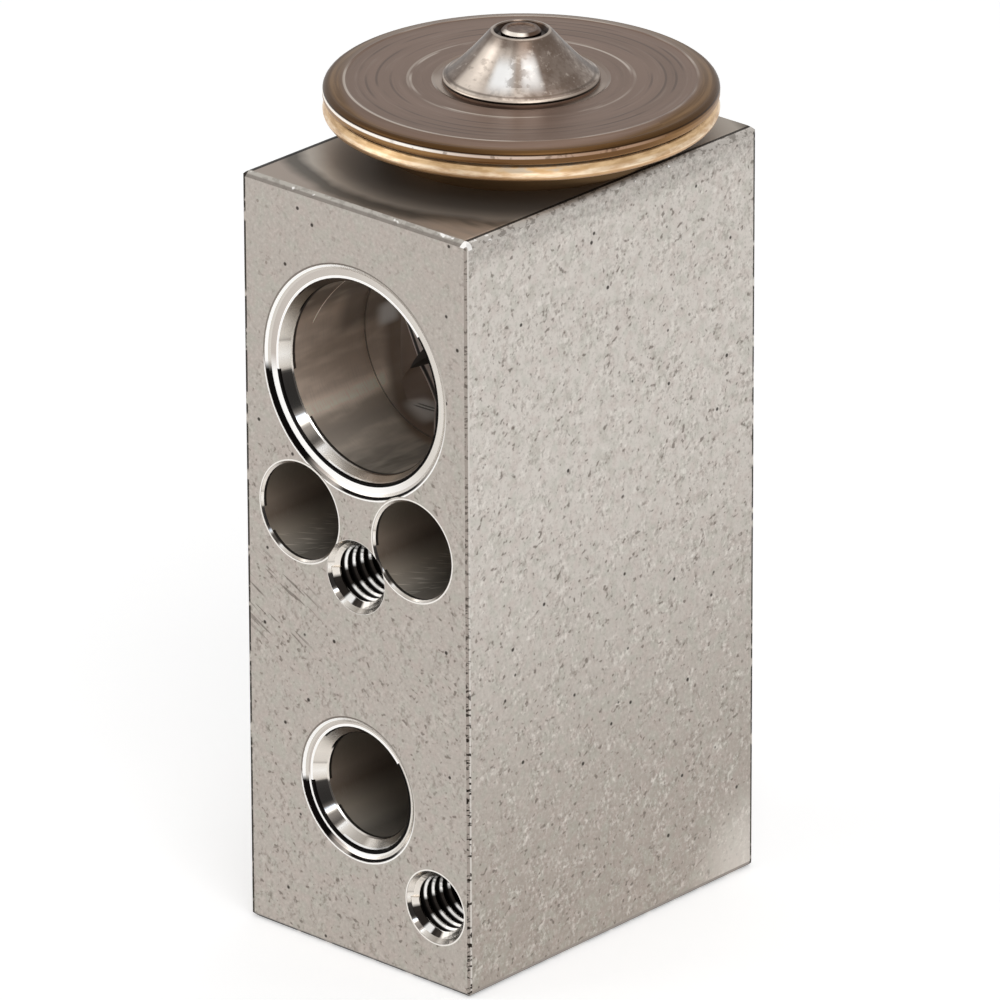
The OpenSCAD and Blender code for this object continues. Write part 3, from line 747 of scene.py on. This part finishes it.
def plate_colour(f, radius, angle):
    """Taupe plate with a few bright and dark rings and a browned border, and its fine rings."""
    round_place = f.joined(radius, f.times(angle, 4 * MM), 0.0)
    fine = f.noise(0.4 * MM, 3, 0.6, round_place)
    broad = f.noise(2.0 * MM, 2, 0.5, round_place)
    colour = f.mix(f.fade(broad, 0.35, 0.65), linear(121, 99, 85), linear(131, 108, 94))
    colour = f.tint(0.35, f.fade(fine, 0.52, 0.75), colour, linear(150, 134, 123))
    colour = f.tint(0.30, f.fade(fine, 0.45, 0.28), colour, linear(98, 82, 71))
    dark_rings = ((12.4 * MM, 3.0), (13.3 * MM, 5.0), (14.0 * MM, 9.0), (11.2 * MM, 7.0))
    for middle, seed in dark_rings:
        ring = arc_lines(f, radius, angle, middle, 0.05 * MM, seed)
        colour = f.tint(0.6, ring, colour, linear(78, 62, 52))
    light_rings = ((9.5 * MM, 0.75, 1.0), (9.75 * MM, 0.4, 4.0), (15.2 * MM, 0.8, 2.0))
    for middle, share, seed in light_rings:
        ring = arc_lines(f, radius, angle, middle, 0.06 * MM, seed)
        colour = f.tint(share, ring, colour, linear(206, 194, 182))

    # Moat at the bell's foot: painted shade at the front, painted highlights to the left and to the
    # right
    moat = f.between(radius, bell_foot_r, bell_foot_r + 0.9 * MM)
    moat = f.both(moat, f.less(f.z, flat_top_z + 0.1 * MM))
    moat_colour = f.mix(f.lobe(angle, 300, 20, 60), linear(150, 136, 125), linear(58, 45, 37))
    moat_colour = f.tint(0.8, f.lobe(angle, 235, 8, 26), moat_colour, linear(196, 184, 172))
    moat_colour = f.tint(0.8, f.lobe(angle, 10, 10, 30), moat_colour, linear(188, 176, 164))
    colour = f.tint(0.6, moat, colour, moat_colour)

    # Border: browned, and narrower at the front, with painted shade on its roll
    brown = f.mix(f.fade(fine, 0.4, 0.65), linear(104, 76, 46), linear(128, 98, 64))
    narrower = f.times(f.lobe(angle, 300, 25, 75), 1.0 * MM)
    from_border = f.minus(f.minus(radius, border_r), narrower)
    colour = f.mix(f.fade(from_border, -0.2 * MM, 0.6 * MM), colour, brown)
    roll = f.fade(radius, roll_r - 0.2 * MM, roll_r + 0.3 * MM)
    return f.tint(0.9, roll, colour, linear(82, 58, 34)), fine


def bell_colour(f, radius, angle):
    """Bell: a bright patch of painted highlight to the left of the front, and painted reflections in
    tan and brown further round.
    """
    blotch = f.noise(1.3 * MM, 4, 0.65)
    veins = f.noise(0.6 * MM, 3, 0.6, f.turned((30, 50, 20), (1, 1, 2.0)))
    colour = f.mix(f.fade(blotch, 0.38, 0.62), linear(118, 103, 92), linear(172, 159, 148))
    light = f.both(f.lobe(angle, 280, 12, 46), f.fade(blotch, 0.3, 0.55, 0.4, 1.0))
    colour = f.tint(0.75, light, colour, linear(212, 198, 185))
    colour = f.tint(0.75, f.lobe(angle, 350, 12, 44), colour, linear(112, 97, 87))
    colour = f.tint(0.7, f.lobe(angle, 238, 6, 26), colour, linear(122, 108, 98))
    colour = f.tint(0.8, f.lobe(angle, 262, 5, 19), colour, linear(240, 226, 212))
    colour = f.tint(0.35, f.fade(veins, 0.54, 0.70), colour, linear(92, 78, 68))
    colour = f.tint(0.3, f.fade(veins, 0.42, 0.3), colour, linear(222, 210, 198))
    # Painted highlights: white patches near the front
    patches = ((293, 15, 4.9 * MM, 1.0), (322, 13, 4.7 * MM, 0.5))
    for middle, width, at, share in patches:
        patch = f.both(f.lobe(angle, middle, 4, width), f.line(radius, at, 0.4 * MM, 1.2 * MM))
        colour = f.tint(share, patch, colour, (1, 0.99, 0.97, 1))
    scribble = f.both(f.lobe(angle, 309, 6, 14), f.fade(blotch, 0.45, 0.52), f.less(radius, 5.6 * MM))
    colour = f.tint(0.5, scribble, colour, linear(104, 88, 77))
    # Painted highlights and lines of painted shade down the bell's left and right sides
    streaks = (
        (62, linear(222, 211, 200)), (46, linear(84, 70, 60)), (205, linear(206, 194, 182)),
        (219, linear(92, 78, 68)),
    )
    for middle, tone in streaks:
        colour = f.tint(0.7, f.lobe(angle, middle, 3, 11), colour, tone)
    # Painted shade darkening towards the well, and a painted highlight on its lip
    colour = f.tint(0.7, f.fade(radius, 3.6 * MM, 2.8 * MM), colour, linear(96, 80, 69))
    colour = f.tint(0.7, f.line(radius, 2.5 * MM, 0.06 * MM, 0.1 * MM), colour, linear(190, 178, 166))

    # Foot: a crease in painted shade over a rolled lip with a painted highlight at the front left and
    # painted shade low down
    crease = f.line(radius, bell_foot_r - 0.42 * MM, 0.03 * MM, 0.14 * MM)
    colour = f.tint(0.6, crease, colour, linear(84, 72, 63))
    lip = f.more(radius, bell_foot_r - 0.14 * MM)
    lip_colour = f.mix(f.lobe(angle, 285, 40, 80), linear(150, 136, 125), linear(204, 190, 176))
    lip_colour = f.mix(f.fade(f.z, flat_top_z + 0.2 * MM, flat_top_z + 0.3 * MM), dark, lip_colour)
    return f.mix(lip, colour, lip_colour)


def top_cover_finish():
    """Turned steel with a browned border, a rolled rim with a painted highlight and a bell in painted
    highlights and reflections.
    """
    f = Finish("head_top_steel")
    radius, angle = head_place(f)
    colour, fine = plate_colour(f, radius, angle)
    on_bell = f.either(
        f.less(radius, bell_foot_r - 0.3 * MM),
        f.both(f.less(radius, bell_foot_r + 0.03 * MM), f.more(f.z, flat_top_z + 0.05 * MM)),
    )
    colour = f.mix(on_bell, colour, bell_colour(f, radius, angle))
    # Painted shade in the well round the plug
    in_well = f.less(radius, 2.3 * MM)
    colour = f.mix(in_well, colour, linear(52, 40, 32))

    # Upright rim: a dark line of painted shade over a painted highlight that is brightest at the
    # front left and broken in dark patches, then browns below it that change round the head as
    # painted reflections
    rim = f.more(radius, head_r - 0.12 * MM)
    painted_rim_highlight = f.mix(f.lobe(angle, 262, 46, 72), linear(120, 88, 54), (1, 0.94, 0.86, 1))
    painted_rim_highlight = f.tint(0.7, f.lobe(angle, 322, 20, 42), painted_rim_highlight, linear(190, 156, 132))
    wear_and_highlight = f.fade(f.noise(0.9 * MM, 3, 0.6), 0.55, 0.66)
    painted_rim_highlight = f.tint(0.5, f.both(wear_and_highlight, f.lobe(angle, 320, 30, 60)), painted_rim_highlight, linear(70, 46, 28))
    line_z = seam_z + 0.84 * MM
    over_line = f.fade(f.z, line_z - 0.06 * MM, line_z + 0.04 * MM)
    rim_colour = f.mix(over_line, painted_rim_highlight, linear(60, 42, 26))
    under_line = f.mix(f.lobe(angle, 325, 15, 45), linear(150, 114, 74), linear(110, 80, 52))
    rim_colour = f.mix(f.fade(f.z, line_z - 0.20 * MM, line_z - 0.30 * MM), rim_colour, under_line)
    by_seam = f.fade(f.z, seam_z + 0.2 * MM, seam_z + 0.1 * MM)
    rim_colour = f.mix(by_seam, rim_colour, linear(160, 124, 84))
    colour = f.mix(f.both(rim, f.less(f.z, line_z + 0.12 * MM)), colour, rim_colour)

    dents = f.noise(1.2 * MM, 3, 0.6)
    height = f.blend(on_bell, fine, dents)
    return f.set(colour, 1.0, f.blend(on_bell, 0.36, 0.3), f.bump(height, 0.25, 0.05 * MM))


def lower_cover_finish():
    """Yellow chromate steel: an olive shoulder under the seam over a pale band of painted highlight
    on the rim.
    """
    f = Finish("head_rim_bronze")
    radius, angle = head_place(f)
    lines = f.noise(0.3 * MM, 3, 0.6, f.joined(f.times(angle, 12 * MM), 0.0, f.z))
    unrolled = f.joined(f.times(angle, 50 * MM), 0.0, f.times(f.z, 2.0))
    blotch = f.noise(1.2 * MM, 3, 0.6, unrolled)
    depth = f.minus(seam_z, f.z)
    shoulder = f.mix(f.fade(blotch, 0.4, 0.62), linear(196, 160, 116), linear(226, 192, 148))
    wear_and_highlight = f.mix(f.fade(blotch, 0.35, 0.65), linear(214, 178, 138), linear(248, 226, 196))
    tan = f.mix(f.fade(lines, 0.4, 0.7), linear(188, 150, 110), linear(214, 178, 136))
    colour = f.mix(f.fade(depth, 0.6 * MM, 0.8 * MM), shoulder, wear_and_highlight)
    colour = f.mix(f.fade(depth, 1.05 * MM, 1.2 * MM), colour, tan)
    bare = f.both(f.lobe(angle, 318, 6, 16), f.fade(depth, 0.8 * MM, 0.6 * MM))
    colour = f.tint(0.7, f.both(bare, f.fade(blotch, 0.4, 0.6)), colour, linear(168, 160, 148))
    colour = f.tint(0.35, f.fade(lines, 0.55, 0.75), colour, linear(132, 98, 62))
    # Painted shade just under the seam and on the underside
    colour = f.mix(f.fade(depth, 0.12 * MM, 0.06 * MM), colour, linear(150, 114, 76))
    under = f.fade(depth, 1.56 * MM, 1.7 * MM)
    colour = f.mix(under, colour, linear(92, 72, 50))
    return f.set(colour, 1.0, 0.36, f.bump(lines, 0.2, 0.04 * MM))


def plug_finish():
    """Plug in the bell: a brown dished top inside a lip of painted highlight, over a side in painted
    shade.
    """
    f = Finish("plug_steel")
    radius, angle = head_place(f)
    low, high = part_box("charge_plug")
    plug_r = (high[0] - low[0]) / 2
    blotch = f.fade(f.noise(0.6 * MM, 3, 0.6), 0.4, 0.6)
    colour = f.mix(blotch, linear(104, 84, 72), linear(132, 112, 98))
    lip = f.more(radius, plug_r - 0.42 * MM)
    lip_colour = f.mix(f.lobe(angle, 285, 18, 55), linear(92, 74, 62), linear(250, 240, 228))
    colour = f.mix(lip, colour, lip_colour)
    side = f.less(f.z, high[2] - 0.22 * MM)
    colour = f.mix(side, colour, linear(40, 28, 21))
    return f.set(colour, 1.0, 0.32)


def turned_metal(name, colour, roughness):
    """Metal turned about the valve's axis: faint rings of tone and roughness."""
    f = Finish(name)
    radius, angle = head_place(f)
    rings = f.noise(0.4 * MM, 3, 0.6, f.joined(radius, f.times(angle, 2 * MM), f.z))
    darker = tuple(0.75 * c for c in colour[:3]) + (1,)
    tone = f.mix(f.fade(rings, 0.35, 0.7), colour, darker)
    rough = f.fade(rings, 0.3, 0.7, roughness - 0.05, roughness + 0.08)
    return f.set(tone, 1.0, rough, f.bump(rings, 0.2, 0.03 * MM))


def seal_rubber():
    """Moulded black rubber with a fine grain."""
    f = Finish("seal_rubber")
    grain = f.noise(0.2 * MM, 3, 0.6)
    colour = f.mix(grain, linear(30, 31, 30), linear(48, 50, 48))
    return f.set(colour, 0.0, 0.55, f.bump(grain, 0.2, 0.02 * MM))


def thread_finish(mount_name):
    """Cut thread: crests and lead-in in painted reflections, over flanks darkened to the root by
    painted shade.
    """
    f = Finish("cut_thread_" + mount_name)
    x, _, z = mounts[mount_name]["pos_m"]
    wall_r = mounts[mount_name]["dims"]["r_mm"] * MM
    dx = f.minus(f.x, x)
    dz = f.minus(f.z, z)
    radius = f.radius(dx, dz)
    angle = f.angle(dx, dz)
    lead = f.dial(angle, [
        (0, pale), (60, pale), (100, cream), (192, cream), (198, dark), (234, dark), (238, white),
        (250, white), (253, dark), (270, dark), (276, pale), (360, pale),
    ])
    crest = f.dial(angle, [
        (0, grey), (80, pale), (130, white), (184, white), (192, dark), (221, dark), (229, white),
        (300, pale), (360, grey),
    ])
    root = f.fade(radius, wall_r - 0.38 * MM, wall_r - 0.27 * MM)
    colour = f.mix(root, crest, black)
    in_lead = f.less(f.minus(f.y, face_y), lead_end)
    colour = f.mix(in_lead, colour, lead)
    return f.set(colour, 1.0, 0.25, f.bump(f.noise(0.3 * MM, 3, 0.6), 0.1, 0.02 * MM))


def new_piece(mesh, name, material):
    """Makes a bmesh a piece of the scene."""
    data = bpy.data.meshes.new(name)
    mesh.to_mesh(data)
    mesh.free()
    data.materials.append(material)
    piece = bpy.data.objects.new(name, data)
    bpy.context.collection.objects.link(piece)
    return piece


def closed_profile(mesh, x, z, profile):
    """Closed outline in the plane through a hole's axis, from points of radius and Y."""
    corners = [mesh.verts.new((x - r, y, z)) for r, y in profile]
    edges = [mesh.edges.new(pair) for pair in zip(corners, corners[1:] + corners[:1])]
    return corners, edges


def thread(name, mount_name):
    """Helical ridge of a tapped hole, spun from one tooth, and the cone of its lead-in."""
    mount = mounts[mount_name]
    x, y, z = mount["pos_m"]
    wall_r = mount["dims"]["r_mm"] * MM
    half = mount["dims"]["length_mm"] * MM / 2
    start, end = y - half, y + half
    turns = (end - start) / thread_pitch - 0.7
    outer_r = wall_r + thread_overlap
    inner_r = wall_r - thread_crest

    # Ridge: the tooth's four corners, with their places along the axis in parts of the pitch
    tooth = [(outer_r, -0.47), (inner_r, -0.07), (inner_r, 0.07), (outer_r, 0.47)]
    first_y = start + 0.2 * thread_pitch
    mesh = bmesh.new()
    corners, edges = closed_profile(
        mesh, x, z, [(r, first_y + along * thread_pitch) for r, along in tooth]
    )
    face = mesh.faces.new(corners)
    steps = round(turns * thread_steps)
    bmesh.ops.spin(
        mesh, geom=corners + edges + [face], cent=(x, 0, z), axis=(0, -1, 0),
        dvec=(0, thread_pitch / thread_steps, 0), angle=2 * math.pi * steps / thread_steps,
        steps=steps,
    )

    # Lead-in: the countersink's cone goes on over the first turn
    lead_y = face_y + lead_end
    cone = [
        (outer_r, start - thread_overlap), (wall_r - lead_depth, lead_y),
        (outer_r, lead_y + lead_depth),
    ]
    corners, edges = closed_profile(mesh, x, z, cone)
    bmesh.ops.spin(
        mesh, geom=corners + edges, cent=(x, 0, z), axis=(0, -1, 0), angle=2 * math.pi,
        steps=thread_steps, use_merge=True,
    )
    bmesh.ops.remove_doubles(mesh, verts=mesh.verts, dist=1e-7)
    bmesh.ops.recalc_face_normals(mesh, faces=mesh.faces)
    piece = new_piece(mesh, name, thread_finish(mount_name))
    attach(piece, "block")


def dress(node, material):
    """Gives a node of the frame its material."""
    materials = frame["nodes"][node].data.materials
    materials.clear()
    materials.append(material)


def yielding(node, name, material):
    """Merged, flat-shaded copy of a node, in the node's place, with the node hidden."""
    source = frame["nodes"][node]
    mesh = bmesh.new()
    mesh.from_mesh(source.data)
    mesh.transform(source.matrix_world)
    bmesh.ops.remove_doubles(mesh, verts=mesh.verts, dist=1e-7)
    for face in mesh.faces:
        face.smooth = False
    piece = new_piece(mesh, name, material)
    piece.data.attributes.remove(piece.data.attributes["custom_normal"])
    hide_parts(node)
    return piece


def add_diaphragm(material):
    """Merged copy of the diaphragm disc, attached to the block, with a mesh of its own."""
    piece = yielding("diaphragm", "diaphragm_disc", material)
    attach(piece, "block")
    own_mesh(piece)


def add_spring(material):
    """Merged copy of the valve spring, with its place baked into its mesh."""
    piece = yielding("valve_spring", "valve_spring_coil", material)
    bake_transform(piece)


def add_camera():
    """Long lens at the photograph's viewing angle."""
    data = bpy.data.cameras.new("camera")
    data.lens = camera_lens
    data.sensor_width = camera_film
    data.shift_x, data.shift_y = camera_shift
    data.clip_end = 10
    camera = bpy.data.objects.new("camera", data)
    bpy.context.collection.objects.link(camera)
    turn = Matrix.Rotation(math.radians(camera_turn), 4, "Z")
    tilt = Matrix.Rotation(math.radians(90 - camera_height), 4, "X")
    roll = Matrix.Rotation(math.radians(camera_roll), 4, "Z")
    aim = turn @ tilt @ roll
    middle = Vector((0, 0, block_top / 2))
    place = middle + aim @ Vector((*camera_offset, camera_distance))
    camera.matrix_world = Matrix.Translation(place) @ aim
    bpy.context.scene.camera = camera


def add_lamp(name, place, size, power):
    """Square soft lamp of white light, aimed at the middle of the block."""
    data = bpy.data.lights.new(name, "AREA")
    data.size = size
    data.energy = power
    lamp = bpy.data.objects.new(name, data)
    bpy.context.collection.objects.link(lamp)
    lamp.location = place
    aim = Vector((0, 0, block_top / 2)) - Vector(place)
    lamp.rotation_euler = aim.to_track_quat("-Z", "Y").to_euler()


def seen_or_mirrored(tree):
    """1 for camera, glossy and transmission rays."""
    path = tree.nodes.new("ShaderNodeLightPath")
    level = path.outputs["Is Camera Ray"]
    for name in ("Is Glossy Ray", "Is Transmission Ray"):
        larger = tree.nodes.new("ShaderNodeMath")
        larger.operation = "MAXIMUM"
        tree.links.new(level, larger.inputs[0])
        tree.links.new(path.outputs[name], larger.inputs[1])
        level = larger.outputs[0]
    return level


def add_floor():
    """Pale floor: diffuse, so that it takes the shadow, and lifted to white where it is seen."""
    mesh = bmesh.new()
    bmesh.ops.create_grid(mesh, x_segments=1, y_segments=1, size=floor_half)
    data = bpy.data.meshes.new("floor")
    mesh.to_mesh(data)
    mesh.free()
    floor = bpy.data.objects.new("floor", data)
    bpy.context.collection.objects.link(floor)
    f = Finish("floor_white")
    f.set((floor_tone, floor_tone, floor_tone, 1), 0.0, 0.9)
    f.shader.inputs["Specular IOR Level"].default_value = 0.0
    lift = f.add("ShaderNodeEmission")
    seen = seen_or_mirrored(f.material.node_tree)
    f.feed(lift.inputs["Strength"], f.times(seen, floor_lift))
    sum_of = f.nodes.new("ShaderNodeAddShader")
    f.links.new(f.shader.outputs[0], sum_of.inputs[0])
    f.links.new(lift.outputs[0], sum_of.inputs[1])
    f.links.new(sum_of.outputs[0], f.output.inputs[0])
    data.materials.append(f.material)


def add_world():
    """White where it is seen or mirrored, softer where it lights the object."""
    world = bpy.data.worlds.new("studio")
    world.use_nodes = True
    tree = world.node_tree
    tree.nodes.clear()
    output = tree.nodes.new("ShaderNodeOutputWorld")
    background = tree.nodes.new("ShaderNodeBackground")
    level = tree.nodes.new("ShaderNodeMix")
    level.inputs[2].default_value = world_light
    level.inputs[3].default_value = 1.0
    tree.links.new(seen_or_mirrored(tree), level.inputs[0])
    tree.links.new(level.outputs[0], background.inputs["Strength"])
    tree.links.new(background.outputs[0], output.inputs[0])
    bpy.context.scene.world = world


def add_studio():
    add_world()
    add_floor()
    add_lamp("key", (0.55, -0.35, 0.75), 0.5, 2.4)
    add_lamp("fill", (-0.6, -0.6, 0.45), 0.6, 1.3)
    add_lamp("top", (0.0, 0.2, 0.95), 0.6, 1.4)


add_camera()

dress("valve_body", block_finish())
dress("head_upper_cover", top_cover_finish())
dress("head_lower_cover", lower_cover_finish())
dress("charge_plug", plug_finish())
turned_pieces = {
    "pressure_pad": ("pad_steel", linear(180, 176, 168), 0.34),
    "sensing_rod": ("rod_aluminium", linear(198, 198, 196), 0.36),
    "valve_ball": ("ball_steel", linear(205, 206, 208), 0.12),
    "ball_carrier": ("carrier_steel", linear(182, 178, 168), 0.36),
    "adjusting_screw": ("screw_brass", linear(196, 164, 104), 0.34),
}
for node, look in turned_pieces.items():
    dress(node, turned_metal(*look))
drawn_steel = turned_metal("drawn_steel", linear(176, 176, 172), 0.28)
dress("operating_pin", drawn_steel)
dress("rod_seal_retainer", drawn_steel)
add_diaphragm(drawn_steel)
add_spring(drawn_steel)
rubber = seal_rubber()
for node in ("head_seal", "rod_o_ring", "screw_o_ring"):
    dress(node, rubber)

thread("line_stud_thread", "line_stud_hole")
thread("low_stud_thread", "low_stud_hole")

add_studio()
